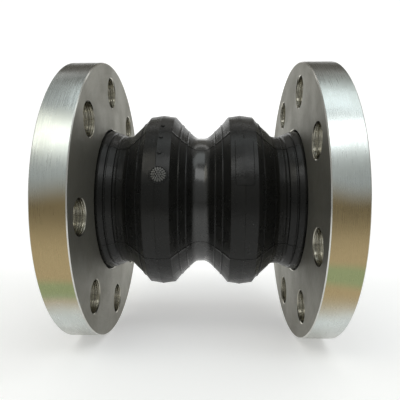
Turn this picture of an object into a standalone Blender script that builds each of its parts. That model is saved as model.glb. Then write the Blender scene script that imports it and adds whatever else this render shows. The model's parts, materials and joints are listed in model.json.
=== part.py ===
"""Twin-sphere rubber expansion joint with two floating steel flanges, for 65 mm pipe.

The pipe axis runs along X through the origin, which is the middle of the joint.  +Z is up, and
lengths are in metres.  The rubber body is one moulding of three layers (cover, cord carcass and
liner).  It is sectioned along its length where it bends and shortens: two ends, which hold the
steel bead rings, two arches, and the centre valley, which holds the reinforcing ring.

A profile is a list of (x, r) points: x along the pipe from the middle, r the radius there.
"""
import math

import bmesh
import bpy

MM = 0.001

# Driving dimensions, in metres.
FACE_TO_FACE = 165 * MM
FLANGE_GAP = 119 * MM              # clear length between the two flanges
FLANGE_THICKNESS = 18 * MM
FLANGE_RADIUS = 87.5 * MM
FLANGE_CHAMFER = 0.8 * MM
FLANGE_BORE_RADIUS = 46.3 * MM
SEAT_RADIUS = 56.8 * MM            # where the seat for the rubber bead meets the outer face
SEAT_DEPTH = 11.3 * MM
BOLT_CIRCLE_RADIUS = 70 * MM
BOLT_HOLE_RADIUS = 9.5 * MM
BOLT_COUNT = 8
LEFT_HOLE_PHASE = math.radians(-6.5)      # from +Z towards +Y
RIGHT_HOLE_PHASE = math.radians(26.3)

PIPE_RADIUS = 32.5 * MM
VALLEY_WATER_RADIUS = 30.6 * MM
CREST_WATER_RADIUS = 46 * MM
CREST_X = 24.3 * MM
CREST_HALF_WIDTH = 7.5 * MM
NECK_RADIUS = 41.7 * MM
VALLEY_RADIUS = 40.8 * MM
CREST_RADIUS = 54.7 * MM
COLLAR_RADIUS = 45.3 * MM
BEAD_RADIUS = 55.6 * MM

FIT_GAP = 0.3 * MM                 # between pieces that touch
LINER_THICKNESS = 2.6 * MM
CARCASS_THICKNESS = 2.0 * MM
LINER_FACE_THICKNESS = 1.6 * MM    # where the liner turns up over the end as the sealing face
TURN_UP_HEIGHT = 13.3 * MM         # how far it turns up there, from the bore
BEAD_RING_RADIUS = 4.0 * MM        # half the thickness of the wire
CENTRE_RING_RADIUS = 1.7 * MM

BEND_X = 14 * MM                   # the joint bends on either side of the valley
NECK_X = 47.5 * MM                 # the arch meets the end here

TURNED_STEPS = 28
FLANGE_STEPS = 56
HOLE_STEPS = 16
WIRE_SIDES = 8

# Radii measured from the waterway outwards, layer by layer.
CARCASS_INSIDE = LINER_THICKNESS + FIT_GAP
CARCASS_OUTSIDE = CARCASS_INSIDE + CARCASS_THICKNESS
COVER_INSIDE = CARCASS_OUTSIDE + FIT_GAP

# Each body's parent body and the place of the joint between them on the X axis.
BODIES = {
    "left_flange": (None, -FACE_TO_FACE / 2),
    "left_end": ("left_flange", -FLANGE_GAP / 2),
    "left_arch": ("left_end", -NECK_X),
    "centre": ("left_arch", -BEND_X),
    "right_arch": ("centre", BEND_X),
    "right_end": ("right_arch", NECK_X),
    "right_flange": ("right_end", FLANGE_GAP / 2),
}


def radius_at(profile, x):
    """The radius of a profile, whose points run in rising x, at one place along the pipe."""
    for (x0, r0), (x1, r1) in zip(profile, profile[1:]):
        if x0 <= x <= x1:
            return r0 + (r1 - r0) * (x - x0) / (x1 - x0)
    raise ValueError("x is off the profile")


def section(profile, x_from, x_to):
    """The part of a profile between two places, with a point at each of them."""
    inner = [(x, r) for x, r in profile if x_from < x < x_to]
    return [(x_from, radius_at(profile, x_from)), *inner, (x_to, radius_at(profile, x_to))]


def raised(profile, height):
    return [(x, r + height) for x, r in profile]


def whole(profile):
    """A half profile, from x = 0 outwards, with its mirror image before it."""
    return [(-x, r) for x, r in reversed(profile) if x > 0] + profile


def waterway():
    """The inner surface of the liner, from the middle to one end."""
    valley_half = 4.5 * MM
    shoulder = 5.8 * MM
    shoulder_radius = CREST_WATER_RADIUS - 1.5 * MM
    pipe_start = 42.5 * MM
    return [
        (0, VALLEY_WATER_RADIUS),
        (valley_half, VALLEY_WATER_RADIUS),
        (CREST_X - shoulder, shoulder_radius),
        (CREST_X, CREST_WATER_RADIUS),
        (CREST_X + shoulder, shoulder_radius),
        (pipe_start, PIPE_RADIUS),
        (FACE_TO_FACE / 2, PIPE_RADIUS),
    ]


def crest_band():
    """The flat band on a crest, as (x from the crest, r), with the ridge left by the mould."""
    edge = CREST_HALF_WIDTH
    edge_bevel = 1 * MM
    corner_radius = CREST_RADIUS - 1.4 * MM
    band_radius = CREST_RADIUS - 0.6 * MM
    ridge_radius = CREST_RADIUS + 0.7 * MM
    ridge_foot, ridge_top = 1.5 * MM, 1 * MM
    right_half = [
        (ridge_top, ridge_radius),
        (ridge_foot, CREST_RADIUS),
        (edge - edge_bevel, band_radius),
        (edge, corner_radius),
    ]
    return mirrored(right_half)[::-1] + right_half


def cover_outside():
    """The outer surface of the cover: valley, cone, crest band with its ridge, cone and neck."""
    valley_half, valley_hollow = 4.2 * MM, 0.4 * MM
    inner_cone_x, inner_cone_radius = 5 * MM, 42 * MM
    outer_cone_x, outer_cone_radius = 42.3 * MM, 43.9 * MM
    foot_x, foot_radius = 43 * MM, 43.2 * MM
    neck_x, neck_rise = 45.2 * MM, 0.2 * MM
    neck_stop = 50 * MM
    return [
        (0, VALLEY_RADIUS),
        (valley_half, VALLEY_RADIUS - valley_hollow),
        (inner_cone_x, inner_cone_radius),
        *[(CREST_X + x, r) for x, r in crest_band()],
        (outer_cone_x, outer_cone_radius),
        (foot_x, foot_radius),
        (neck_x, NECK_RADIUS + neck_rise),
        (neck_stop, NECK_RADIUS),
    ]


def mirrored(loop):
    return [(-x, r) for x, r in loop]


def band_between(lower, upper):
    """A closed section whose inner side and outer side are given as open profiles."""
    return lower + upper[::-1]


def wire_section(x, r, wire_radius):
    turn = math.tau / WIRE_SIDES
    return [
        (x + wire_radius * math.cos(turn * (i + 0.5)), r + wire_radius * math.sin(turn * (i + 0.5)))
        for i in range(WIRE_SIDES)
    ]


def material(name, colour, roughness, metallic=0.0):
    made = bpy.data.materials.new(name)
    made.use_nodes = True
    shader = made.node_tree.nodes["Principled BSDF"]
    shader.inputs["Base Color"].default_value = (*colour, 1)
    shader.inputs["Roughness"].default_value = roughness
    shader.inputs["Metallic"].default_value = metallic
    return made


def turned_mesh(name, loop, steps, centre_x, phase=0.0):
    """A closed (x, r) section turned about the X axis, in the frame of a joint at centre_x."""
    bm = bmesh.new()
    rings = []
    for i in range(steps):
        angle = phase + math.tau * i / steps
        side, up = math.sin(angle), math.cos(angle)
        rings.append([bm.verts.new((x - centre_x, r * side, r * up)) for x, r in loop])
    for ring, following in zip(rings, rings[1:] + rings[:1]):
        for j in range(len(loop)):
            k = (j + 1) % len(loop)
            bm.faces.new((ring[j], ring[k], following[k], following[j]))
    bmesh.ops.recalc_face_normals(bm, faces=bm.faces)
    mesh = bpy.data.meshes.new(name)
    bm.to_mesh(mesh)
    bm.free()
    mesh.shade_smooth()
    mesh.set_sharp_from_angle(angle=math.radians(30))
    return mesh


def add_object(name, mesh, parent):
    made = bpy.data.objects.new(name, mesh)
    bpy.context.scene.collection.objects.link(made)
    made.parent = parent
    return made


def make_bodies():
    """One empty for each body, on its joint, each parented to the body that carries it."""
    empties = {}
    for body, (parent, x) in BODIES.items():
        parent_x = BODIES[parent][1] if parent else 0.0
        empty = add_object(f"{body}_joint", None, empties.get(parent))
        empty.location = (x - parent_x, 0, 0)
        empties[body] = empty
    return empties


def add_turned(name, body, empties, loop, look, steps=TURNED_STEPS, phase=0.0):
    mesh = turned_mesh(name, loop, steps, BODIES[body][1], phase)
    mesh.materials.append(look)
    return add_object(name, mesh, empties[body])


def flange_section():
    """Square-edged plate flange, with a coned seat in its outer face for the rubber bead."""
    inner_face = FLANGE_GAP / 2
    outer_face = inner_face + FLANGE_THICKNESS
    return [
        (inner_face, FLANGE_BORE_RADIUS),
        (outer_face - SEAT_DEPTH, FLANGE_BORE_RADIUS),
        (outer_face, SEAT_RADIUS),
        (outer_face, FLANGE_RADIUS - FLANGE_CHAMFER),
        (outer_face - FLANGE_CHAMFER, FLANGE_RADIUS),
        (inner_face + FLANGE_CHAMFER, FLANGE_RADIUS),
        (inner_face, FLANGE_RADIUS - FLANGE_CHAMFER),
    ]


def bolt_hole_cutter(name, body, empties, side, phase):
    """Eight round bars through the flange, on the bolt circle."""
    bm = bmesh.new()
    middle_x = side * (FLANGE_GAP + FLANGE_THICKNESS) / 2 - BODIES[body][1]
    for i in range(BOLT_COUNT):
        angle = phase + math.tau * i / BOLT_COUNT
        made = bmesh.ops.create_cone(
            bm, cap_ends=True, segments=HOLE_STEPS, depth=2 * FLANGE_THICKNESS,
            radius1=BOLT_HOLE_RADIUS, radius2=BOLT_HOLE_RADIUS,
        )
        for vert in made["verts"]:
            x, y, z = vert.co.z, vert.co.x, vert.co.y
            vert.co = (
                middle_x + x,
                y + BOLT_CIRCLE_RADIUS * math.sin(angle),
                z + BOLT_CIRCLE_RADIUS * math.cos(angle),
            )
    mesh = bpy.data.meshes.new(name)
    bm.to_mesh(mesh)
    bm.free()
    cutter = add_object(name, mesh, empties[body])
    cutter.hide_render = True
    cutter.display_type = "WIRE"
    return cutter


def add_flange(body, empties, side, phase, steel):
    loop = flange_section() if side > 0 else mirrored(flange_section())
    flange = add_turned(body, body, empties, loop, steel, FLANGE_STEPS, phase)
    cut = flange.modifiers.new("bolt_holes", "BOOLEAN")
    cut.operation = "DIFFERENCE"
    cut.object = bolt_hole_cutter(f"{body}_cutter", body, empties, side, phase)


def end_sections():
    """Cover, carcass, liner and bead ring of the right end, from the neck to the sealing face.

    The carcass turns up behind the bead ring, the liner turns up over it as the sealing face,
    and the cover makes the collar in the flange bore and the bead that the flange seat holds.
    """
    start = NECK_X + FIT_GAP / 2
    face = FACE_TO_FACE / 2
    carcass_r = PIPE_RADIUS + CARCASS_INSIDE
    carcass_top = PIPE_RADIUS + CARCASS_OUTSIDE
    cover_r = PIPE_RADIUS + COVER_INSIDE
    turn_up = PIPE_RADIUS + TURN_UP_HEIGHT
    liner_back = face - LINER_FACE_THICKNESS
    carcass_face = liner_back - FIT_GAP
    carcass_back = carcass_face - CARCASS_THICKNESS
    ring_x = carcass_back - FIT_GAP - BEAD_RING_RADIUS
    pocket_x = ring_x - BEAD_RING_RADIUS - FIT_GAP
    pocket_r = turn_up + FIT_GAP
    flare_x, flare_rise = 51.5 * MM, 0.3 * MM
    lip_x, lip_drop = 55 * MM, 1.1 * MM
    collar_stop = 66 * MM
    bead_x, bead_drop = 76.8 * MM, 0.4 * MM
    bead_top_x = 79.5 * MM
    bead_edge_x, bead_edge_drop = 81.6 * MM, 0.6 * MM
    face_edge_drop = 2 * MM
    cover = [
        (start, NECK_RADIUS),
        (flare_x, NECK_RADIUS + flare_rise),
        (lip_x, COLLAR_RADIUS - lip_drop),
        (FLANGE_GAP / 2, COLLAR_RADIUS),
        (collar_stop, COLLAR_RADIUS),
        (bead_x, BEAD_RADIUS - bead_drop),
        (bead_top_x, BEAD_RADIUS),
        (bead_edge_x, BEAD_RADIUS - bead_edge_drop),
        (face, BEAD_RADIUS - face_edge_drop),
        (face, pocket_r),
        (pocket_x, pocket_r),
        (pocket_x, cover_r),
        (start, cover_r),
    ]
    carcass = [
        (start, carcass_r),
        (carcass_face, carcass_r),
        (carcass_face, turn_up - FIT_GAP),
        (carcass_back, turn_up - FIT_GAP),
        (carcass_back, carcass_top),
        (start, carcass_top),
    ]
    liner = [
        (start, PIPE_RADIUS),
        (face, PIPE_RADIUS),
        (face, turn_up),
        (liner_back, turn_up),
        (liner_back, PIPE_RADIUS + LINER_THICKNESS),
        (start, PIPE_RADIUS + LINER_THICKNESS),
    ]
    ring = wire_section(ring_x, cover_r + BEAD_RING_RADIUS, BEAD_RING_RADIUS)
    return {"cover": cover, "carcass": carcass, "liner": liner, "bead_ring": ring}


def arch_sections():
    """Cover, carcass and liner of the right arch, from the inner cone to the neck."""
    start = BEND_X + FIT_GAP / 2
    stop = NECK_X - FIT_GAP / 2
    inside = section(waterway(), start, stop)
    outside = section(cover_outside(), start, stop)
    return {
        "cover": band_between(raised(inside, COVER_INSIDE), outside),
        "carcass": band_between(raised(inside, CARCASS_INSIDE), raised(inside, CARCASS_OUTSIDE)),
        "liner": band_between(inside, raised(inside, LINER_THICKNESS)),
    }


def centre_sections():
    """Cover, carcass, liner and reinforcing ring of the valley between the two arches."""
    stop = BEND_X - FIT_GAP / 2
    inside = section(whole(waterway()), -stop, stop)
    outside = section(whole(cover_outside()), -stop, stop)
    carcass_top = VALLEY_WATER_RADIUS + CARCASS_OUTSIDE
    ring_r = carcass_top + FIT_GAP + CENTRE_RING_RADIUS
    pocket_r = ring_r + CENTRE_RING_RADIUS + FIT_GAP
    pocket_x = CENTRE_RING_RADIUS + 2 * FIT_GAP
    cover_r = VALLEY_WATER_RADIUS + COVER_INSIDE
    pocket = [(-pocket_x, cover_r), (-pocket_x, pocket_r), (pocket_x, pocket_r), (pocket_x, cover_r)]
    cover_inside = raised(inside, COVER_INSIDE)
    left = [point for point in cover_inside if point[0] < -pocket_x]
    right = [point for point in cover_inside if point[0] > pocket_x]
    return {
        "cover": band_between(left + pocket + right, outside),
        "carcass": band_between(raised(inside, CARCASS_INSIDE), raised(inside, CARCASS_OUTSIDE)),
        "liner": band_between(inside, raised(inside, LINER_THICKNESS)),
        "ring": wire_section(0, ring_r, CENTRE_RING_RADIUS),
    }


def main():
    for old in list(bpy.data.objects):
        bpy.data.objects.remove(old)

    looks = {
        "cover": material("cover_rubber", (0.022, 0.021, 0.020), 0.5),
        "carcass": material("cord_carcass", (0.16, 0.13, 0.09), 0.8),
        "liner": material("liner_rubber", (0.03, 0.03, 0.032), 0.6),
        "bead_ring": material("bead_wire", (0.42, 0.40, 0.38), 0.4, 1.0),
        "ring": material("ring_steel", (0.42, 0.42, 0.44), 0.4, 1.0),
    }
    steel = material("zinc_plated_steel", (0.60, 0.58, 0.53), 0.32, 1.0)

    empties = make_bodies()
    add_flange("left_flange", empties, -1, LEFT_HOLE_PHASE, steel)
    add_flange("right_flange", empties, 1, RIGHT_HOLE_PHASE, steel)
    for place, sections in (("end", end_sections()), ("arch", arch_sections())):
        for kind, loop in sections.items():
            tail = kind if kind == "bead_ring" else f"{place}_{kind}"
            left_body, right_body = f"left_{place}", f"right_{place}"
            add_turned(f"left_{tail}", left_body, empties, mirrored(loop), looks[kind])
            add_turned(f"right_{tail}", right_body, empties, loop, looks[kind])
    for kind, loop in centre_sections().items():
        add_turned(f"centre_{kind}", "centre", empties, loop, looks[kind])


main()
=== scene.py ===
"""The looks of a twin-sphere rubber expansion joint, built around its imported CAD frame.

The pipe axis is X.  Every turned piece is drawn as a half section of (x, r) points, x along the
pipe from the middle and r the radius there, and is mirrored for the left side.  The rubber is in
four lengths: an outer and an inner one on each side, meeting on the crests and in the valley, so
that each length bends across one joint only.
"""
import json
import math

import bmesh
import bpy
from mathutils import Matrix, Vector


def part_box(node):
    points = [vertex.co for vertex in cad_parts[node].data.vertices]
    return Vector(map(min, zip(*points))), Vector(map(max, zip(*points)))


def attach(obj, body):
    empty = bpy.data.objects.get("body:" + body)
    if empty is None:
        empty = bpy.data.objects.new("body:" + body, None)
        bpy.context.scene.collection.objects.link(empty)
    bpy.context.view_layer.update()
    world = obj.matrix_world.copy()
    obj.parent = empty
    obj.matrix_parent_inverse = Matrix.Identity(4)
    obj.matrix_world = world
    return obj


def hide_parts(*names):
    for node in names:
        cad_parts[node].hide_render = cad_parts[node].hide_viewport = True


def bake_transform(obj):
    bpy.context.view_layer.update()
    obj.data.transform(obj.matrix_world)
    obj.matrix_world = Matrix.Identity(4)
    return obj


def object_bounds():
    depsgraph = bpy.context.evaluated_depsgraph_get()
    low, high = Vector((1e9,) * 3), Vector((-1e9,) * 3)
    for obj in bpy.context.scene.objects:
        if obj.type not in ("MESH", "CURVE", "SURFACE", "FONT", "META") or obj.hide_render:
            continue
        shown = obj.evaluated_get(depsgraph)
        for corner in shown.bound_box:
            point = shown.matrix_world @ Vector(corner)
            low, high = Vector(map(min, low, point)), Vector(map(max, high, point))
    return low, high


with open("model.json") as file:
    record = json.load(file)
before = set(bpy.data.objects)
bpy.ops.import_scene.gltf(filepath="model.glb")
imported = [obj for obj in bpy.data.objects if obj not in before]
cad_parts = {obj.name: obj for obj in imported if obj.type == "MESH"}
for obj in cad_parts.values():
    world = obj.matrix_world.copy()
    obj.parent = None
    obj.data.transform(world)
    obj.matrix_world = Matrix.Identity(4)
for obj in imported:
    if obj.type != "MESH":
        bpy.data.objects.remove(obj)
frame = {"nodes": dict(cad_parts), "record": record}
cad_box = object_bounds()

MM = 0.001
SIDES = {"left": -1, "right": 1}

# Places that the frame gives.
FLANGE_LOW, FLANGE_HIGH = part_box("right_flange")
INNER_FACE = FLANGE_LOW.x
OUTER_FACE = FLANGE_HIGH.x
FLANGE_RADIUS = FLANGE_HIGH.z
SEALING_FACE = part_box("right_end_liner")[1].x
LINER_FLARE_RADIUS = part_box("right_end_liner")[1].z
CARCASS_FLARE_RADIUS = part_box("right_end_carcass")[1].z
CARCASS_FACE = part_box("right_end_carcass")[1].x
BEAD_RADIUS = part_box("right_end_cover")[1].z
BEAD_RING_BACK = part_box("right_bead_ring")[0].x
CENTRE_RING_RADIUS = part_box("centre_ring")[1].z
CENTRE_RING_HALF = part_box("centre_ring")[1].x
CREST_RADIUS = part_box("right_arch_cover")[1].z
FLOOR_Z = cad_box[0].z

# The flange.
BORE_RADIUS = 46.3 * MM
SEAT_RADIUS = 56.8 * MM
SEAT_DEPTH = 11.3 * MM
SEAT_FILLET = 2 * MM
BOLT_CIRCLE_RADIUS = 70 * MM
BOLT_HOLE_RADIUS = 9.5 * MM
BOLT_COUNT = 8
EDGE_CHAMFER = 0.55 * MM
EDGE_FILLET = 0.15 * MM
HOLE_CHAMFER = 0.45 * MM
BORE_CHAMFER = 0.5 * MM
FACE_SLOT, RIM_SLOT, HOLE_SLOT, EDGE_SLOT = range(4)
ARC_STEPS = 24                 # around the rim, from one bolt hole's middle to the next
SPOKE_STEPS = 8                # across the flange face, between two bolt holes
FACING_SHARE = 0.4             # how far a hole's points turn towards the outline around it

# The rubber wall.
PIPE_RADIUS = 32.5 * MM
VALLEY_WATER_RADIUS = 30.6 * MM
CREST_WATER_RADIUS = 46 * MM
CREST_X = 24.3 * MM
CREST_HALF_WIDTH = 7.5 * MM
NECK_RADIUS = 41.7 * MM
VALLEY_RADIUS = 40.8 * MM
COLLAR_RADIUS = 45.3 * MM
FIT_GAP = 0.3 * MM
LINER_THICKNESS = 2.6 * MM
CARCASS_THICKNESS = 2.0 * MM
CARCASS_INSIDE = LINER_THICKNESS + FIT_GAP
CARCASS_OUTSIDE = CARCASS_INSIDE + CARCASS_THICKNESS
COVER_INSIDE = CARCASS_OUTSIDE + FIT_GAP
COVER_STOP = SEALING_FACE - 0.01 * MM
CARCASS_BACK = CARCASS_FACE - CARCASS_THICKNESS
LINER_BACK = CARCASS_FACE + FIT_GAP

# Small moulded shapes of the cover: (x, radius, fillet) in mm, from where each one starts.
VALLEY_STEP = ((0, 0, 0.1), (0.3, 0.8, 0.2), (1.0, 1.1, 0.2))
INNER_RIB = ((0, 0, 0.1), (0.05, 0.55, 0.1), (0.4, 1.0, 0.1), (0.9, 0.85, 0.1))
OUTER_RIB = ((0, 0, 0.1), (0.4, 0.4, 0.2), (1.0, -0.7, 0.2))
NECK_STEP = ((0, 0, 0.4), (0.5, -0.9, 0.3))
NECK_LINE = ((0, 0, 0.1), (0.3, 0.35, 0.15), (0.7, 0, 0.1))
COLLAR_LIP = ((0, 0, 0.3), (0.6, 0.9, 0.4), (4.0, 2.3, 0.2))
COLLAR_GROOVE = ((0, 0, 0.1), (0.6, 0.1, 0.1), (0.9, 1.1, 0.2))

# Half of the crest band, as (distance from its middle, drop from the crest, fillet).
CREST_HALF = (
    (CREST_HALF_WIDTH + 0.5 * MM, 1.7 * MM, 0.3 * MM),
    (CREST_HALF_WIDTH, 1.1 * MM, 0.3 * MM),
    (CREST_HALF_WIDTH - 0.9 * MM, 1.0 * MM, 0.6 * MM),
    (0.3 * MM, 0.1 * MM, 0.5 * MM),
)
RIDGE_RISE = 0.05 * MM

# Plain raised details on the crests; a level is degrees above the middle, on the near side.
PAD_HEIGHT = 0.55 * MM
PAD_ROOT = 0.5 * MM            # how far a raised detail reaches into the cover below it
PAD_SHOULDER = 0.7             # of its height, where its sides start to lean in
PAD_TOP_SCALE = 0.88
BUTTON_X = 22.6 * MM
BUTTON_LEVEL = math.radians(15)
BUTTON_RADIUS = 5.2 * MM
BUTTON_RING_WIDTH = 0.9 * MM
BUTTON_RING_HEIGHT = 0.7 * MM
PEBBLES = ((1, 0), (6, 1.35 * MM), (12, 2.6 * MM), (17, 3.75 * MM))     # count, and reach
PEBBLE_RADIUS = 0.5 * MM
PEBBLE_SIDES = 8
PIP_LEVELS = (29, 41, 53)
PIP_RADIUS = 1.2 * MM
HOOP_STEPS = 40
PLATE_LEVELS = (9, 39)
PLATE_HALF_WIDTH = 5.2 * MM
PLATE_CORNER = 1.5 * MM
PLATE_HEIGHT = 0.4 * MM
PLATE_EDGE_HEIGHT = 0.12 * MM
PLATE_EDGE_WIDTH = 0.3 * MM
PLATE_STEPS = 32

# Mould seams: thin ridges along the outside of the rubber.
SEAM_LEVELS = (47, -37, 143, 227)
SEAM_HEIGHT = 0.3 * MM
SEAM_HALF_ANGLE = math.radians(0.45)
SEAM_CLEARANCE = 1.5 * SEAM_HALF_ANGLE
SEAM_END_X = INNER_FACE - 1.5 * MM

LINING_STEP = 2 * MM           # longest stretch between two points of a section
COVER_STEP = 1.2 * MM
COVER_STEPS = 192              # points around the pipe
HIDDEN_STEPS = 96
FILLET_STEPS = 4
FILLET_SHARE = 0.49            # of the stretch beside a corner that its fillet may take
SHARP_ANGLE = 32
FLANGE_SHARP_ANGLE = 20
MERGE_DISTANCE = 0.001 * MM

# The valley's skin is glossy as far as here, and matt from there on.
GLOSSY_X = 2.5 * MM
MATT_X = 6.0 * MM

# Painted reflections on the rims (gold, green and brown) and painted shade (dull grey), and dirt.
GOLD_PAINTED_REFLECTION = (0.35, 0.26, 0.125)
GREEN_PAINTED_REFLECTION = (0.21, 0.27, 0.12)
BROWN_PAINTED_REFLECTION = (0.11, 0.107, 0.092)
GREY_PAINTED_SHADE = (0.42, 0.41, 0.36)
GREEN_REFLECTION_LEAN = 0.05
SPECK = (0.16, 0.14, 0.12)
GRIME = (0.10, 0.095, 0.075)

# The carcass's cords, and the gaps between them.
CORD = (0.22, 0.17, 0.11)
CORD_GAP = (0.05, 0.04, 0.03)
CORD_COUNT = 60
CORD_SLANT = 2600.0            # radians of the weave's wave in a metre along the pipe

# The camera; its angles are in degrees, and its lens and sensor in mm.
CAMERA_PLACE = (5.9 * MM, -259.8 * MM, 3.9 * MM)
CAMERA_YAW = 1.62
CAMERA_PITCH = -0.93
CAMERA_ROLL = -0.25
LENS = 34.6
SENSOR_WIDTH = 36


# ---------------------------------------------------------------------------------- sections

def rounded(points):
    """(x, r) points from (x, r, fillet) ones: each corner with a fillet becomes a short arc."""
    made = []
    for i, (x, r, fillet) in enumerate(points):
        here = Vector((x, r))
        if fillet <= 0 or i in (0, len(points) - 1):
            made.append((x, r))
            continue
        before = Vector(points[i - 1][:2]) - here
        after = Vector(points[i + 1][:2]) - here
        half = before.angle(after) / 2
        room = FILLET_SHARE * min(before.length, after.length)
        reach = min(fillet / math.tan(half), room)
        start = here + before.normalized() * reach
        stop = here + after.normalized() * reach
        for step in range(FILLET_STEPS + 1):
            t = step / FILLET_STEPS
            point = start * (1 - t) ** 2 + here * (2 * t * (1 - t)) + stop * t ** 2
            made.append((point.x, point.y))
    return made


def radius_at(profile, x):
    """The radius of a profile where it crosses an x."""
    for (x0, r0), (x1, r1) in zip(profile, profile[1:]):
        if x0 <= x <= x1 and x1 > x0:
            return r0 + (r1 - r0) * (x - x0) / (x1 - x0)
    raise ValueError("x is off the profile")


def between(profile, x_from, x_to):
    """The stretch of a profile from one x to another, with a point at each of them."""
    inner = [(x, r) for x, r in profile if x_from + MERGE_DISTANCE < x < x_to - MERGE_DISTANCE]
    return [(x_from, radius_at(profile, x_from)), *inner, (x_to, radius_at(profile, x_to))]


def raised(profile, height):
    """The same profile, further out from the pipe's axis."""
    return [(x, r + height) for x, r in profile]


def divided(profile, longest):
    """The same profile with extra points, so that no stretch is longer than that."""
    made = [profile[0]]
    for (x0, r0), (x1, r1) in zip(profile, profile[1:]):
        pieces = max(1, math.ceil(math.hypot(x1 - x0, r1 - r0) / longest))
        for i in range(1, pieces + 1):
            made.append((x0 + (x1 - x0) * i / pieces, r0 + (r1 - r0) * i / pieces))
    return made


def waterway():
    """The inner surface of the liner, from the middle to the sealing face."""
    shoulder, shoulder_radius = 5.8 * MM, CREST_WATER_RADIUS - 1.5 * MM
    valley_half, pipe_start = 4.5 * MM, 42.5 * MM
    small_fillet, fillet, wide_fillet = 4 * MM, 5 * MM, 8 * MM
    return rounded([
        (0, VALLEY_WATER_RADIUS, 0),
        (valley_half, VALLEY_WATER_RADIUS, small_fillet),
        (CREST_X - shoulder, shoulder_radius, fillet),
        (CREST_X, CREST_WATER_RADIUS, small_fillet),
        (CREST_X + shoulder, shoulder_radius, fillet),
        (pipe_start, PIPE_RADIUS, wide_fillet),
        (SEALING_FACE, PIPE_RADIUS, 0),
    ])


def placed(x, r, shape):
    """A small moulded shape of the cover, given in mm, put at a place on its outline."""
    return [(x + dx * MM, r + dr * MM, fillet * MM) for dx, dr, fillet in shape]


def valley_outline():
    """The hollow between the arches, and its wall up to the crest with a step and a rib."""
    floor_half, wall_x, wall_radius = 2.4 * MM, 5.0 * MM, 42.1 * MM
    step_x, step_radius = 7.7 * MM, 44.5 * MM
    rib_x, rib_radius = 11.8 * MM, 48.55 * MM
    return [
        (0, VALLEY_RADIUS, 0),
        (floor_half, VALLEY_RADIUS, 10 * MM),
        (wall_x, wall_radius, 8 * MM),
        *placed(step_x, step_radius, VALLEY_STEP),
        *placed(rib_x, rib_radius, INNER_RIB),
    ]


def crest_outline():
    """The crest band: nearly flat, with eased edges and a fine ridge around its middle."""
    rising = [(CREST_X - dx, CREST_RADIUS - drop, fillet) for dx, drop, fillet in CREST_HALF]
    falling = [(CREST_X + dx, CREST_RADIUS - drop, fillet) for dx, drop, fillet in CREST_HALF[::-1]]
    return [*rising, (CREST_X, CREST_RADIUS + RIDGE_RISE, 0), *falling]


def neck_outline():
    """From the crest down to the neck, and up over the collar, with the lines moulded there."""
    rib_x, rib_radius = 35.2 * MM, 50.3 * MM
    foot_x, foot_radius = 42.2 * MM, 44.1 * MM
    neck_x, line_x, lip_x = 44.8 * MM, 48.4 * MM, 50.4 * MM
    groove_x, groove_radius = 54.7 * MM, 43.4 * MM
    return [
        *placed(rib_x, rib_radius, OUTER_RIB),
        *placed(foot_x, foot_radius, NECK_STEP),
        (neck_x, NECK_RADIUS + 0.2 * MM, 1.5 * MM),
        *placed(line_x, NECK_RADIUS, NECK_LINE),
        *placed(lip_x, NECK_RADIUS, COLLAR_LIP),
        *placed(groove_x, groove_radius, COLLAR_GROOVE),
    ]


def bead_outline():
    """The collar through the flange's bore, and the bead that fills the flange's seat."""
    collar_start, collar_stop = 58.4 * MM, 66.0 * MM
    bead_start, bead_top, bead_stop = 76.8 * MM, 79.5 * MM, 81.7 * MM
    return [
        (collar_start, COLLAR_RADIUS, 2 * MM),
        (collar_stop, COLLAR_RADIUS, 3 * MM),
        (bead_start, BEAD_RADIUS - 0.4 * MM, 3 * MM),
        (bead_top, BEAD_RADIUS, 1.5 * MM),
        (bead_stop, BEAD_RADIUS - 0.5 * MM, 1.2 * MM),
        (COVER_STOP, BEAD_RADIUS - 2.2 * MM, 0),
    ]


def cover_outside():
    """The outer surface of the cover, from the middle of the valley to the edge of the bead."""
    return rounded([*valley_outline(), *crest_outline(), *neck_outline(), *bead_outline()])


def closed(lower, upper):
    """A closed section between an inner and an outer profile, both in rising x."""
    return lower + upper[::-1]


def inner_sections():
    """Valley to crest: sections of the right side's inner length, and the cover's outside."""
    wall = divided(between(waterway(), 0, CREST_X), LINING_STEP)
    outside = divided(between(cover_outside(), 0, CREST_X), COVER_STEP)
    pocket_radius = CENTRE_RING_RADIUS + FIT_GAP
    pocket_x = CENTRE_RING_HALF + FIT_GAP
    beyond_pocket = [point for point in raised(wall, COVER_INSIDE) if point[0] > pocket_x]
    pocket = [(0, pocket_radius), (pocket_x, pocket_radius), (pocket_x, VALLEY_WATER_RADIUS + COVER_INSIDE)]
    sections = {
        "cover": closed(pocket + beyond_pocket, outside),
        "carcass": closed(raised(wall, CARCASS_INSIDE), raised(wall, CARCASS_OUTSIDE)),
        "liner": closed(wall, raised(wall, LINER_THICKNESS)),
    }
    return sections, outside


def end_carcass(wall):
    """Section of the carcass from the crest to the bead, where it turns up behind the bead ring."""
    low = [point for point in raised(wall, CARCASS_INSIDE) if point[0] < CARCASS_FACE]
    high = [point for point in raised(wall, CARCASS_OUTSIDE) if point[0] < CARCASS_BACK]
    turned_up = [
        (CARCASS_FACE, PIPE_RADIUS + CARCASS_INSIDE),
        (CARCASS_FACE, CARCASS_FLARE_RADIUS),
        (CARCASS_BACK, CARCASS_FLARE_RADIUS),
        (CARCASS_BACK, PIPE_RADIUS + CARCASS_OUTSIDE),
    ]
    return low + turned_up + high[::-1]


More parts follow.
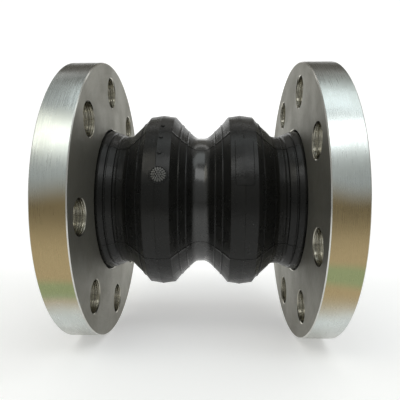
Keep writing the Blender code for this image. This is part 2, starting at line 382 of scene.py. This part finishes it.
def end_liner(wall):
    """Section of the liner from the crest to the sealing face, which has a shallow groove."""
    groove_depth, lip = 0.25 * MM, 1.2 * MM
    groove_top, groove_foot = LINER_FLARE_RADIUS - 2.4 * MM, LINER_FLARE_RADIUS - 5.0 * MM
    groove_slope = 0.4 * MM
    face = [
        (SEALING_FACE, LINER_FLARE_RADIUS),
        (SEALING_FACE, groove_top),
        (SEALING_FACE - groove_depth, groove_top - groove_slope),
        (SEALING_FACE - groove_depth, groove_foot + groove_slope),
        (SEALING_FACE, groove_foot),
        (SEALING_FACE, PIPE_RADIUS + lip),
        (SEALING_FACE - 0.3 * lip, PIPE_RADIUS + 0.3 * lip),
    ]
    high = [point for point in raised(wall, LINER_THICKNESS) if point[0] < LINER_BACK]
    flare = [(LINER_BACK, PIPE_RADIUS + LINER_THICKNESS), (LINER_BACK, LINER_FLARE_RADIUS)]
    bore = [point for point in wall if point[0] < SEALING_FACE - lip]
    bore.append((SEALING_FACE - lip, PIPE_RADIUS))
    return high + flare + face + bore[::-1]


def outer_sections():
    """Crest to sealing face: sections of the right side's outer length, and the cover's outside."""
    wall = divided(between(waterway(), CREST_X, SEALING_FACE), LINING_STEP)
    outside = divided(between(cover_outside(), CREST_X, COVER_STOP), COVER_STEP)
    pocket_x = BEAD_RING_BACK - FIT_GAP
    pocket_radius = LINER_FLARE_RADIUS + FIT_GAP
    lining = [point for point in raised(wall, COVER_INSIDE) if point[0] < pocket_x]
    cover_radius = PIPE_RADIUS + COVER_INSIDE
    pocket = [(pocket_x, cover_radius), (pocket_x, pocket_radius), (SEALING_FACE, pocket_radius)]
    sections = {
        "cover": closed(lining + pocket, outside),
        "carcass": end_carcass(wall),
        "liner": end_liner(wall),
    }
    return sections, outside


# -------------------------------------------------------------------------------- mesh tools

def object_from(name, bm, looks, sharp_angle=SHARP_ANGLE):
    """An object of a bmesh, shaded smooth except along its sharper edges."""
    bmesh.ops.recalc_face_normals(bm, faces=bm.faces)
    mesh = bpy.data.meshes.new(name)
    bm.to_mesh(mesh)
    bm.free()
    for look in looks:
        mesh.materials.append(LOOKS[look])
    mesh.shade_smooth()
    mesh.set_sharp_from_angle(angle=math.radians(sharp_angle))
    made = bpy.data.objects.new(name, mesh)
    bpy.context.scene.collection.objects.link(made)
    return made


def bridge(bm, first, second, slot_index=0):
    """A strip of faces between two closed rings with as many points each."""
    for i in range(len(first)):
        k = (i + 1) % len(first)
        bm.faces.new((first[i], first[k], second[k], second[i])).material_index = slot_index


def keep_rest_place(piece):
    """Stores each point's place at rest, which its material reads, so grain stays on the rubber."""
    rest = piece.data.attributes.new("rest_place", "FLOAT_VECTOR", "POINT")
    for point, vertex in zip(rest.data, piece.data.vertices):
        point.vector = vertex.co


def turn_angles(steps, with_seams):
    """Angles from +Z towards +Y around the pipe, each with the height of the seam there."""
    angles = [(math.tau * i / steps, 0.0) for i in range(steps)]
    if not with_seams:
        return angles
    for level in SEAM_LEVELS:
        middle = math.radians(level - 90) % math.tau
        angles = [(angle, h) for angle, h in angles if h or abs(angle - middle) > SEAM_CLEARANCE]
        angles += [(middle - SEAM_HALF_ANGLE, 0.0), (middle, SEAM_HEIGHT), (middle + SEAM_HALF_ANGLE, 0.0)]
    return sorted(angles)


def turned(loop, steps, side=1, seam_points=0):
    """A bmesh of a closed (x, r) section turned about X; its last seam_points points carry seams."""
    bm = bmesh.new()
    rings = []
    for angle, seam_height in turn_angles(steps, seam_points > 0):
        ring = []
        for j, (x, r) in enumerate(loop):
            if j >= len(loop) - seam_points and x < SEAM_END_X:
                r += seam_height
            ring.append(bm.verts.new((side * x, r * math.sin(angle), r * math.cos(angle))))
        rings.append(ring)
    for ring, following in zip(rings, rings[1:] + rings[:1]):
        bridge(bm, ring, following)
    return bm


# ---------------------------------------------------------------------------------- materials

class Nodes:
    """A material's node tree, with short ways to add a node and to join sockets."""

    def __init__(self, name):
        """A new material of this name, with only its shader so far."""
        self.material = bpy.data.materials.new(name)
        self.material.use_nodes = True
        self.tree = self.material.node_tree
        self.shader = self.tree.nodes["Principled BSDF"]

    def add(self, kind, **settings):
        """A new node with some of its settings set."""
        node = self.tree.nodes.new(kind)
        for key, value in settings.items():
            setattr(node, key, value)
        return node

    def join(self, source, target):
        """Joins an output socket to an input socket."""
        self.tree.links.new(source, target)

    def value(self, operation, *inputs):
        """The result of a sum on numbers or sockets."""
        node = self.add("ShaderNodeMath", operation=operation)
        for socket, source in zip(node.inputs, inputs):
            self.feed(source, socket)
        return node.outputs[0]

    def feed(self, source, socket):
        """Gives a socket a number, or joins another socket to it."""
        if isinstance(source, (int, float)):
            socket.default_value = source
        else:
            self.join(source, socket)

    def mix(self, factor, first, second):
        """A blend of two colours, each a tuple or a socket."""
        node = self.add("ShaderNodeMix", data_type="RGBA")
        self.feed(factor, node.inputs["Factor"])
        for colour, socket in ((first, node.inputs[6]), (second, node.inputs[7])):
            if isinstance(colour, tuple):
                socket.default_value = (*colour, 1)
            else:
                self.join(colour, socket)
        return node.outputs[2]

    def noise(self, place, scale, detail=4.0, roughness=0.55):
        """Soft noise between 0 and 1; scale is about how many patches there are in a metre."""
        node = self.add("ShaderNodeTexNoise")
        self.join(place, node.inputs["Vector"])
        node.inputs["Scale"].default_value = scale
        node.inputs["Detail"].default_value = detail
        node.inputs["Roughness"].default_value = roughness
        return node.outputs["Fac"]

    def ramp(self, value, low, high, to_low=0.0, to_high=1.0):
        """A smooth step from one output to another while the value goes from low to high."""
        node = self.add("ShaderNodeMapRange", interpolation_type="SMOOTHSTEP")
        self.feed(value, node.inputs["Value"])
        for key, number in (("From Min", low), ("From Max", high), ("To Min", to_low), ("To Max", to_high)):
            node.inputs[key].default_value = number
        return node.outputs["Result"]

    def bump(self, height, strength, distance, before=None):
        """A surface direction tilted by a height, on top of an earlier bump if there is one."""
        node = self.add("ShaderNodeBump")
        node.inputs["Strength"].default_value = strength
        node.inputs["Distance"].default_value = distance
        self.join(height, node.inputs["Height"])
        if before is not None:
            self.join(before, node.inputs["Normal"])
        return node.outputs["Normal"]

    def finish(self, colour, roughness, normal=None, metallic=0.0):
        """Joins everything to the shader, and gives the material."""
        self.join(colour, self.shader.inputs["Base Color"])
        self.join(roughness, self.shader.inputs["Roughness"])
        if normal is not None:
            self.join(normal, self.shader.inputs["Normal"])
        self.shader.inputs["Metallic"].default_value = metallic
        return self.material


def rest_place(nodes):
    """A point's place at rest, on rubber that bends."""
    return nodes.add("ShaderNodeAttribute", attribute_name="rest_place").outputs["Vector"]


def object_place(nodes):
    """A point's place on a rigid piece."""
    return nodes.add("ShaderNodeTexCoord").outputs["Object"]


def polar(nodes, place):
    """Distance along the pipe, distance from its axis, and the turn around it (-pi to pi)."""
    split = nodes.add("ShaderNodeSeparateXYZ")
    nodes.join(place, split.inputs[0])
    x, y, z = split.outputs
    square = nodes.value("ADD", nodes.value("POWER", y, 2.0), nodes.value("POWER", z, 2.0))
    radius = nodes.value("SQRT", square)
    return x, radius, nodes.value("ARCTAN2", z, nodes.value("MULTIPLY", y, -1.0))


def combined(nodes, x, y, z):
    """A texture place made of three values."""
    node = nodes.add("ShaderNodeCombineXYZ")
    for source, socket in zip((x, y, z), node.inputs):
        nodes.feed(source, socket)
    return node.outputs[0]


def rubber_material(name, colour, dust, roughness, grain=1.0):
    """Moulded rubber: a fine matt skin, glossy in the valley, with flow marks and a little dust."""
    nodes = Nodes(name)
    place = rest_place(nodes)
    patches = nodes.noise(place, scale=45, detail=3)
    skin = nodes.noise(place, scale=900, detail=3, roughness=0.6)
    x, radius, turn = polar(nodes, place)
    around = nodes.value("MULTIPLY", turn, 0.004)
    flow = nodes.noise(combined(nodes, x, around, radius), scale=700, detail=3)
    tone = nodes.mix(nodes.ramp(patches, 0.45, 0.75, 0.0, 0.55), colour, dust)
    uneven = nodes.noise(place, scale=120, detail=4)
    rough = nodes.ramp(uneven, 0.3, 0.7, roughness - 0.06, roughness + 0.07)
    gloss = nodes.ramp(nodes.value("ABSOLUTE", x), GLOSSY_X, MATT_X, 0.95, 0.0)
    nodes.join(gloss, nodes.shader.inputs["Coat Weight"])
    nodes.shader.inputs["Coat Roughness"].default_value = 0.15
    normal = nodes.bump(skin, strength=0.22 * grain, distance=0.3 * MM)
    normal = nodes.bump(flow, strength=0.20 * grain, distance=0.4 * MM, before=normal)
    normal = nodes.bump(patches, strength=0.25 * grain, distance=1.2 * MM, before=normal)
    made = nodes.finish(tone, rough, normal)
    nodes.shader.inputs["Specular IOR Level"].default_value = 0.27
    nodes.shader.inputs["Sheen Weight"].default_value = 0.05
    nodes.shader.inputs["Sheen Roughness"].default_value = 0.45
    return made


def cord_material():
    """Rubberised cord fabric: two layers of crossing cords under a thin brown skim."""
    nodes = Nodes("cord_carcass_look")
    place = rest_place(nodes)
    x, _, turn = polar(nodes, place)
    cords = []
    for lean in (1, -1):
        around = nodes.value("MULTIPLY", turn, CORD_COUNT)
        along = nodes.value("MULTIPLY", x, lean * CORD_SLANT)
        cords.append(nodes.value("SINE", nodes.value("ADD", around, along)))
    weave = nodes.value("MAXIMUM", *cords)
    tone = nodes.mix(nodes.ramp(weave, -0.6, 0.9), CORD_GAP, CORD)
    rough = nodes.ramp(nodes.noise(place, scale=200), 0.3, 0.7, 0.7, 0.9)
    return nodes.finish(tone, rough, nodes.bump(weave, strength=0.6, distance=0.4 * MM))


def band(nodes, value, rise, fall):
    """1 between a rise and a fall of a value, each given as where it starts and where it stops."""
    return nodes.value("MULTIPLY", nodes.ramp(value, *rise), nodes.ramp(value, *fall, 1.0, 0.0))


def with_painted_reflections(nodes, colour, x, turn, drift):
    """Paints reflections on a rim by the turn around it: 0 is level in front, and a quarter turn is the
    top.
    A painted gold and green reflection sits low in front, a painted brown reflection on top, and painted
    shade of dull grey at the bottom.

    The green band sits a little higher on the right flange than on the left one.
    """
    # painted reflections and painted shade, placed by the turn around the rim with a little noise
    reflection_turn = nodes.value("ADD", turn, nodes.value("MULTIPLY", drift, 0.3))
    lean = nodes.value("MULTIPLY", nodes.value("SIGN", x), GREEN_REFLECTION_LEAN)
    gold = band(nodes, reflection_turn, (-0.66, -0.40), (0.12, 0.30))
    green = band(nodes, nodes.value("SUBTRACT", reflection_turn, lean), (-0.45, -0.38), (-0.33, -0.25))
    brown = band(nodes, reflection_turn, (0.88, 1.08), (1.9, 2.3))
    # painted shade: duller grey towards the bottom of the rim
    dull = nodes.ramp(reflection_turn, -0.95, -0.55, 0.7, 0.0)
    golden = nodes.mix(nodes.value("MULTIPLY", green, 0.8), GOLD_PAINTED_REFLECTION, GREEN_PAINTED_REFLECTION)
    colour = nodes.mix(dull, colour, GREY_PAINTED_SHADE)
    colour = nodes.mix(nodes.value("MULTIPLY", gold, 0.95), colour, golden)
    return nodes.mix(nodes.value("MULTIPLY", brown, 0.9), colour, BROWN_PAINTED_REFLECTION)


def steel_material(name, tone, tint, roughness, finish="rim"):
    """Zinc plated turned steel: tool marks, soft clouding, specks of dirt.

    finish "face" has the tool marks repeat outwards, instead of along x.  "rim" adds painted
    reflections: gold and green low in front, brown on top, and painted shade at the bottom.  "drilled"
    adds the rings that a drill leaves around a hole's wall, with dirt in some of them.
    """
    nodes = Nodes(name)
    place = object_place(nodes)
    x, radius, turn = polar(nodes, place)
    across = radius if finish == "face" else x
    around = nodes.value("MULTIPLY", turn, 0.0022)
    marks = nodes.noise(combined(nodes, across, around, 0.0), scale=2600, detail=3, roughness=0.6)
    around = nodes.value("MULTIPLY", turn, 0.0008)
    wide_marks = nodes.noise(combined(nodes, across, around, 0.0), scale=700, detail=2)
    clouds = nodes.noise(place, scale=38, detail=4, roughness=0.6)
    specks = nodes.noise(place, scale=420, detail=3, roughness=0.7)

    colour = nodes.mix(nodes.ramp(clouds, 0.3, 0.7), tone, tint)
    if finish == "rim":
        # painted reflections and painted shade on the rim, by the turn around it
        colour = with_painted_reflections(nodes, colour, x, turn, nodes.noise(place, scale=16, detail=1))
    dirt = nodes.ramp(specks, 0.66, 0.80)
    colour = nodes.mix(nodes.value("MULTIPLY", dirt, 0.35), colour, SPECK)

    rough = nodes.value(
        "ADD",
        nodes.ramp(clouds, 0.3, 0.7, roughness - 0.04, roughness + 0.06),
        nodes.ramp(marks, 0.3, 0.7, -0.05, 0.05),
    )
    normal = nodes.bump(marks, strength=0.35, distance=0.12 * MM)
    normal = nodes.bump(wide_marks, strength=0.25, distance=0.25 * MM, before=normal)
    if finish == "drilled":
        depth = combined(nodes, x, 0.0, 0.0)
        rings = nodes.noise(depth, scale=900, detail=3, roughness=0.7)
        normal = nodes.bump(rings, strength=0.8, distance=0.6 * MM, before=normal)
        grime = nodes.ramp(nodes.noise(depth, scale=520, detail=2), 0.40, 0.62, 0.0, 0.65)
        colour = nodes.mix(grime, colour, GRIME)
    return nodes.finish(colour, rough, normal, metallic=1.0)


def wire_material(name, colour):
    """Plain drawn steel, a little patchy."""
    nodes = Nodes(name)
    place = object_place(nodes)
    darker = tuple(0.6 * channel for channel in colour)
    tone = nodes.mix(nodes.ramp(nodes.noise(place, scale=160), 0.35, 0.7), colour, darker)
    rough = nodes.ramp(nodes.noise(place, scale=700), 0.3, 0.7, 0.3, 0.5)
    normal = nodes.bump(nodes.noise(place, scale=1500), strength=0.2, distance=0.2 * MM)
    return nodes.finish(tone, rough, normal, metallic=1.0)


LOOKS = {
    "cover": rubber_material("cover_rubber_look", (0.0032, 0.0032, 0.0026), (0.008, 0.0077, 0.0064), 0.29),
    "rubbed": rubber_material("rubbed_rubber_look", (0.10, 0.10, 0.094), (0.15, 0.147, 0.135), 0.30),
    "liner": rubber_material("liner_rubber_look", (0.016, 0.016, 0.017), (0.026, 0.025, 0.024), 0.50, 0.6),
    "carcass": cord_material(),
    "face": steel_material("flange_face_look", (0.30, 0.292, 0.255), (0.245, 0.238, 0.205), 0.55, "face"),
    "rim": steel_material("flange_rim_look", (0.62, 0.665, 0.66), (0.54, 0.575, 0.555), 0.27, "rim"),
    "hole": steel_material("flange_hole_look", (0.66, 0.64, 0.56), (0.42, 0.40, 0.33), 0.16, "drilled"),
    # brighter, smoother steel on the chamfers: a painted highlight along the flange edges
    "edge": steel_material("flange_edge_highlight_look", (0.68, 0.68, 0.65), (0.58, 0.57, 0.54), 0.24, "plain"),
    "bead_ring": wire_material("bead_wire_look", (0.42, 0.38, 0.33)),
    "centre_ring": wire_material("centre_ring_look", (0.45, 0.45, 0.46)),
}


# ------------------------------------------------------------------------------------- rubber

RUBBED_SLOT = 1                # the second material of a cover


def blend_outer(piece):
    """Bakes the outer length's placement into its mesh."""
    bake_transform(piece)


def blend_inner(piece):
    """Bakes the inner length's placement into its mesh."""
    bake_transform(piece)


def on_crest(side, x, along, level, height):
    """A place on the cover near the crest: x along the pipe, and along the arc from a level."""
    radius = radius_at(cover_outside(), x) + height
    turn = level + along / CREST_RADIUS
    return side * x, -radius * math.cos(turn), radius * math.sin(turn)


def add_pad(bm, side, x, level, outline, slot_index=0):
    """A raised pad moulded on the crest band; its outline is (x, along) points about its middle."""
    rings = []
    for scale, height in ((1.0, -PAD_ROOT), (1.0, PAD_SHOULDER * PAD_HEIGHT), (PAD_TOP_SCALE, PAD_HEIGHT)):
        rings.append([
            bm.verts.new(on_crest(side, x + scale * dx, scale * dy, level, height)) for dx, dy in outline
        ])
    for ring, following in zip(rings, rings[1:]):
        bridge(bm, ring, following, slot_index)
    bm.faces.new(rings[0])
    bm.faces.new(rings[-1]).material_index = slot_index


def add_hoop(bm, side, x, level, radius, width, height):
    """A raised ring moulded on the crest band."""
    inner, ease, shoulder = radius - width, 0.2 * width, PAD_SHOULDER * height
    outer_half = ((radius, -PAD_ROOT), (radius, shoulder), (radius - ease, height))
    inner_half = ((inner + ease, height), (inner, shoulder), (inner, -PAD_ROOT))
    section = outer_half + inner_half
    rings = []
    for i in range(HOOP_STEPS):
        turn = math.tau * i / HOOP_STEPS
        rings.append([
            bm.verts.new(on_crest(side, x + r * math.cos(turn), r * math.sin(turn), level, h))
            for r, h in section
        ])
    for ring, following in zip(rings, rings[1:] + rings[:1]):
        bridge(bm, ring, following)


def circle_outline(radius, steps=12, middle=(0, 0)):
    """Points around a circle."""
    turns = [math.tau * i / steps for i in range(steps)]
    return [(middle[0] + radius * math.cos(t), middle[1] + radius * math.sin(t)) for t in turns]


def add_button(bm, side):
    """A plain round button in a ring, with a pebbled top, and pips above it."""
    add_hoop(bm, side, BUTTON_X, BUTTON_LEVEL, BUTTON_RADIUS, BUTTON_RING_WIDTH, BUTTON_RING_HEIGHT)
    for count, reach in PEBBLES:
        for middle in circle_outline(reach, count):
            outline = circle_outline(PEBBLE_RADIUS, PEBBLE_SIDES, middle)
            add_pad(bm, side, BUTTON_X, BUTTON_LEVEL, outline, RUBBED_SLOT)
    for level in PIP_LEVELS:
        add_pad(bm, side, BUTTON_X, math.radians(level), circle_outline(PIP_RADIUS))


def plate_section(along, half_length, is_end):
    """Section across the plate, narrower where its corners are rounded: (x, height) points."""
    to_end = min(1.0, (half_length - abs(along)) / PLATE_CORNER)
    half_width = PLATE_HALF_WIDTH - PLATE_CORNER * (1 - math.sqrt(1 - (1 - to_end) ** 2))
    top = PLATE_EDGE_HEIGHT if is_end else PLATE_HEIGHT
    flat = half_width - PLATE_EDGE_WIDTH
    half = [(half_width, -PAD_ROOT), (half_width, PLATE_EDGE_HEIGHT), (flat, top), (PLATE_EDGE_WIDTH, top)]
    return [(-x, height) for x, height in half] + half[::-1]


def add_plate(bm, side):
    """A plain raised plate along the crest, rounded at both ends, where a mould insert was."""
    low, high = (math.radians(level) for level in PLATE_LEVELS)
    half_length = (high - low) / 2 * CREST_RADIUS
    rings = []
    for i in range(PLATE_STEPS + 1):
        along = -math.cos(math.pi * i / PLATE_STEPS) * half_length
        section = plate_section(along, half_length, i in (0, PLATE_STEPS))
        places = [on_crest(side, CREST_X + x, along, (low + high) / 2, height) for x, height in section]
        rings.append([bm.verts.new(place) for place in places])
    for ring, following in zip(rings, rings[1:]):
        bridge(bm, ring, following)
    bm.faces.new(rings[0])
    bm.faces.new(rings[-1])


def add_layer(name, kind, loop, side, outside, details=None):
    """One layer of one length of the rubber; the cover has seams, and may have crest details."""
    is_cover = kind == "cover"
    steps = HIDDEN_STEPS if kind == "carcass" else COVER_STEPS
    bm = turned(loop, steps, side, len(outside) if is_cover else 0)
    if is_cover and details:
        details(bm, side)
    piece = object_from(name, bm, (kind, "rubbed") if is_cover else (kind,))
    keep_rest_place(piece)
    return piece


def make_rubber():
    """Each side's inner and outer lengths, in three layers."""
    crest_details = {"left": add_button, "right": add_plate}
    for side_name, side in SIDES.items():
        sections, outside = outer_sections()
        for kind, loop in sections.items():
            piece = add_layer(f"{side_name}_outer_{kind}", kind, loop, side, outside)
            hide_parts(f"{side_name}_end_{kind}", f"{side_name}_arch_{kind}")
            blend_outer(piece)
        sections, outside = inner_sections()
        details = crest_details[side_name]
        for kind, loop in sections.items():
            piece = add_layer(f"{side_name}_inner_{kind}", kind, loop, side, outside, details)
            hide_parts(f"centre_{kind}")
            blend_inner(piece)


# ------------------------------------------------------------------------------------ flanges

def hole_phase(side_name):
    """The turn from +Z towards +Y of a flange's first bolt hole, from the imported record."""
    name = f"{side_name}_bolt_hole_1"
    box = next(o["box_m"] for o in frame["record"]["physics"]["openings"] if o["name"] == name)
    y, z = ((box[0][i] + box[1][i]) / 2 for i in (1, 2))
    return math.atan2(y, z)


def flange_wall():
    """Open section from the inner face, over the rim, to the outer face."""
    return rounded([
        (INNER_FACE, FLANGE_RADIUS - EDGE_CHAMFER, 0),
        (INNER_FACE + EDGE_CHAMFER, FLANGE_RADIUS, EDGE_FILLET),
        (OUTER_FACE - EDGE_CHAMFER, FLANGE_RADIUS, EDGE_FILLET),
        (OUTER_FACE, FLANGE_RADIUS - EDGE_CHAMFER, 0),
    ])


def flange_bore():
    """Open section from the outer face, down the seat and through the bore, to the inner face."""
    return rounded([
        (OUTER_FACE, SEAT_RADIUS + BORE_CHAMFER, 0),
        (OUTER_FACE - BORE_CHAMFER, SEAT_RADIUS - FIT_GAP, EDGE_FILLET),
        (OUTER_FACE - SEAT_DEPTH, BORE_RADIUS, SEAT_FILLET),
        (INNER_FACE + BORE_CHAMFER, BORE_RADIUS, EDGE_FILLET),
        (INNER_FACE, BORE_RADIUS + BORE_CHAMFER, 0),
    ])


def sector_outline(low_radius, high_radius):
    """Points around one bolt hole's share of a flange face, as (turn, radius) from its middle."""
    half = math.pi / BOLT_COUNT
    outline = []
    for i in range(ARC_STEPS):
        outline.append((-half + 2 * half * i / ARC_STEPS, high_radius))
    for i in range(SPOKE_STEPS):
        outline.append((half, high_radius + (low_radius - high_radius) * i / SPOKE_STEPS))
    for i in range(ARC_STEPS):
        outline.append((half - 2 * half * i / ARC_STEPS, low_radius))
    for i in range(SPOKE_STEPS):
        outline.append((-half, low_radius + (high_radius - low_radius) * i / SPOKE_STEPS))
    return outline


def hole_section():
    """Open section of a bolt hole's wall, from the inner face to the outer one: (x, radius)."""
    return [
        (INNER_FACE, BOLT_HOLE_RADIUS + HOLE_CHAMFER),
        (INNER_FACE + HOLE_CHAMFER, BOLT_HOLE_RADIUS),
        (OUTER_FACE - HOLE_CHAMFER, BOLT_HOLE_RADIUS),
        (OUTER_FACE, BOLT_HOLE_RADIUS + HOLE_CHAMFER),
    ]


def hole_ring(bm, side, middle, radius, x, outline):
    """A ring of points around a bolt hole, each turned towards its point on the sector's outline."""
    facings = []
    for turn, reach in outline:
        out, along = reach * math.cos(turn) - BOLT_CIRCLE_RADIUS, reach * math.sin(turn)
        facings.append(math.atan2(along, out))
    ring = []
    for i, facing in enumerate(facings):
        even = facings[0] + math.tau * i / len(facings)
        gap = (facing - even + math.pi) % math.tau - math.pi
        angle = even + FACING_SHARE * gap
        out = BOLT_CIRCLE_RADIUS + radius * math.cos(angle)
        along = radius * math.sin(angle)
        y = out * math.sin(middle) + along * math.cos(middle)
        z = out * math.cos(middle) - along * math.sin(middle)
        ring.append(bm.verts.new((side * x, y, z)))
    return ring


def add_turned_walls(bm, side, phase):
    """The rim with its two edges, and the bore with its seat."""
    steps = BOLT_COUNT * ARC_STEPS
    start = phase - math.pi / BOLT_COUNT
    turns = [start + math.tau * i / steps for i in range(steps)]
    for section, slot_index in ((flange_wall(), RIM_SLOT), (flange_bore(), HOLE_SLOT)):
        rings = [
            [bm.verts.new((side * x, radius * math.sin(t), radius * math.cos(t))) for t in turns]
            for x, radius in section
        ]
        for i, (ring, following) in enumerate(zip(rings, rings[1:])):
            at_edge = slot_index == RIM_SLOT and i in (0, len(rings) - 2)
            bridge(bm, ring, following, EDGE_SLOT if at_edge else slot_index)


def add_bolt_hole(bm, side, middle):
    """One bolt hole's wall, and its share of both faces."""
    wall, bore, hole = flange_wall(), flange_bore(), hole_section()
    outlines = {
        INNER_FACE: sector_outline(bore[-1][1], wall[0][1]),
        OUTER_FACE: sector_outline(bore[0][1], wall[-1][1]),
    }
    rings = [hole_ring(bm, side, middle, radius, x, outlines[INNER_FACE]) for x, radius in hole]
    for ring, following in zip(rings, rings[1:]):
        bridge(bm, ring, following, HOLE_SLOT)
    for x, ring in ((INNER_FACE, rings[0]), (OUTER_FACE, rings[-1])):
        edge = []
        for turn, reach in outlines[x]:
            y, z = reach * math.sin(middle + turn), reach * math.cos(middle + turn)
            edge.append(bm.verts.new((side * x, y, z)))
        bridge(bm, ring, edge, FACE_SLOT)


def make_flange(side_name, side):
    """One closed mesh: two faces pierced by the bolt holes, the rim, and the bore with its seat."""
    phase = hole_phase(side_name)
    bm = bmesh.new()
    add_turned_walls(bm, side, phase)
    for i in range(BOLT_COUNT):
        add_bolt_hole(bm, side, phase + math.tau * i / BOLT_COUNT)
    bmesh.ops.remove_doubles(bm, verts=bm.verts, dist=MERGE_DISTANCE)
    looks = ("face", "rim", "hole", "edge")
    flange = object_from(f"{side_name}_flange_turned", bm, looks, FLANGE_SHARP_ANGLE)
    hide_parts(f"{side_name}_flange")
    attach(flange, f"{side_name}_flange")


# --------------------------------------------------------------------------------- steel rings

RING_LOOKS = {"left_bead_ring": "bead_ring", "right_bead_ring": "bead_ring", "centre_ring": "centre_ring"}


def dress_rings():
    """Gives the CAD's own bead rings and valley ring their steel looks."""
    for node, look in RING_LOOKS.items():
        mesh = frame["nodes"][node].data
        mesh.materials.clear()
        mesh.materials.append(LOOKS[look])


# -------------------------------------------------------------------------- stage and camera

def stage_material():
    """Pale and softly glowing under and behind the joint, and greyer well in front of it."""
    grey, white = (0.42, 0.42, 0.42), (0.86, 0.86, 0.86)
    glow_under, glow_behind = 0.37, 0.16
    nodes = Nodes("stage_white")
    split = nodes.add("ShaderNodeSeparateXYZ")
    nodes.join(object_place(nodes), split.inputs[0])
    nearness = nodes.ramp(split.outputs["Y"], -0.45, -0.10)
    soft = nodes.noise(object_place(nodes), scale=6, detail=2)
    tone = nodes.mix(nearness, grey, white)
    nodes.join(tone, nodes.shader.inputs["Emission Color"])
    under = nodes.value("MULTIPLY", nearness, glow_under)
    behind = nodes.ramp(split.outputs["Y"], 0.08, 0.35, 0.0, glow_behind)
    nodes.join(nodes.value("ADD", under, behind), nodes.shader.inputs["Emission Strength"])
    return nodes.finish(tone, nodes.ramp(soft, 0, 1, 0.8, 0.9))


def make_stage():
    """A pale floor that sweeps up behind the joint."""
    half_width, front, back, height, sweep = 2.5, -2.0, 1.2, 1.0, 0.5
    sweep_steps = 16
    section = [(front, 0.0), (back - sweep, 0.0)]
    for i in range(1, sweep_steps + 1):
        angle = math.pi / 2 * i / sweep_steps
        section.append((back - sweep + sweep * math.sin(angle), sweep * (1 - math.cos(angle))))
    section.append((back, height))
    bm = bmesh.new()
    rows = [
        [bm.verts.new((x, y, FLOOR_Z + z)) for y, z in section]
        for x in (-half_width, half_width)
    ]
    for i in range(len(section) - 1):
        bm.faces.new((rows[0][i], rows[1][i], rows[1][i + 1], rows[0][i + 1]))
    floor = object_from("stage_floor", bm, ())
    floor.data.materials.append(stage_material())


def add_light(name, place, target, size, power, colour):
    """A softbox at a place, facing a target."""
    light = bpy.data.lights.new(name, "AREA")
    light.shape = "RECTANGLE"
    light.size, light.size_y = size
    light.energy = power
    light.color = colour
    holder = bpy.data.objects.new(name, light)
    holder.location = place
    holder.rotation_euler = (Vector(target) - Vector(place)).to_track_quat("-Z", "Y").to_euler()
    bpy.context.scene.collection.objects.link(holder)


def make_world():
    """A dim studio: pale grey in front and above, darker and warmer behind."""
    pale_grey, warm_grey = (0.42, 0.43, 0.42, 1), (0.20, 0.19, 0.165, 1)
    world = bpy.data.worlds.new("soft_studio")
    world.use_nodes = True
    tree = world.node_tree
    place = tree.nodes.new("ShaderNodeTexCoord")
    split = tree.nodes.new("ShaderNodeSeparateXYZ")
    ramp = tree.nodes.new("ShaderNodeValToRGB")
    shift = tree.nodes.new("ShaderNodeMath")
    shift.operation = "MULTIPLY_ADD"
    shift.inputs[1].default_value = 0.5
    shift.inputs[2].default_value = 0.5
    tree.links.new(place.outputs["Generated"], split.inputs[0])
    tree.links.new(split.outputs["Y"], shift.inputs[0])
    tree.links.new(shift.outputs[0], ramp.inputs["Fac"])
    tree.links.new(ramp.outputs["Color"], tree.nodes["Background"].inputs["Color"])
    front, back = ramp.color_ramp.elements
    front.position, front.color = 0.45, pale_grey
    back.position, back.color = 0.75, warm_grey
    bpy.context.scene.world = world


def make_lights():
    """A key high in front, a warm fill on the left, one overhead, and a wash on the backdrop."""
    white, cool, cooler, warm = (1.0, 1.0, 1.0), (0.98, 1.0, 1.0), (0.92, 0.99, 1.0), (1.0, 0.96, 0.82)
    middle, backdrop = (0, 0, 0), (0, 1.1, 0)
    overhead, below = (0.25, -0.16, 0.80), (0.25, -0.16, 0)
    add_light("key_softbox", (0.17, -0.70, 0.76), middle, size=(1.15, 0.38), power=3.2, colour=cool)
    add_light("left_softbox", (-0.50, -0.56, 0.70), middle, size=(0.55, 0.40), power=1.12, colour=warm)
    add_light("top_softbox", overhead, below, size=(1.0, 0.36), power=1.2, colour=cooler)
    add_light("backdrop_wash", (0, 0.45, 0.95), backdrop, size=(1.8, 0.3), power=1.6, colour=white)


def make_camera():
    """Level with the pipe, a little right of its middle, close enough for a wide view."""
    data = bpy.data.cameras.new("camera")
    data.sensor_width = SENSOR_WIDTH
    data.lens = LENS
    data.clip_start, data.clip_end = 0.01, 20
    holder = bpy.data.objects.new("camera", data)
    yaw, pitch, roll = (math.radians(angle) for angle in (CAMERA_YAW, CAMERA_PITCH, CAMERA_ROLL))
    aim = Matrix.Rotation(yaw, 3, "Z") @ Matrix.Rotation(pitch, 3, "X") @ Matrix.Rotation(roll, 3, "Y")
    right, forward, up = aim.col[0], aim.col[1], aim.col[2]
    turn = Matrix((right, up, -forward)).transposed().to_4x4()
    holder.matrix_world = Matrix.Translation(Vector(CAMERA_PLACE)) @ turn
    bpy.context.scene.collection.objects.link(holder)
    bpy.context.scene.camera = holder


make_rubber()
for each_name, each_side in SIDES.items():
    make_flange(each_name, each_side)
dress_rings()
make_stage()
make_world()
make_lights()
make_camera()
bpy.context.scene.view_settings.view_transform = "Standard"
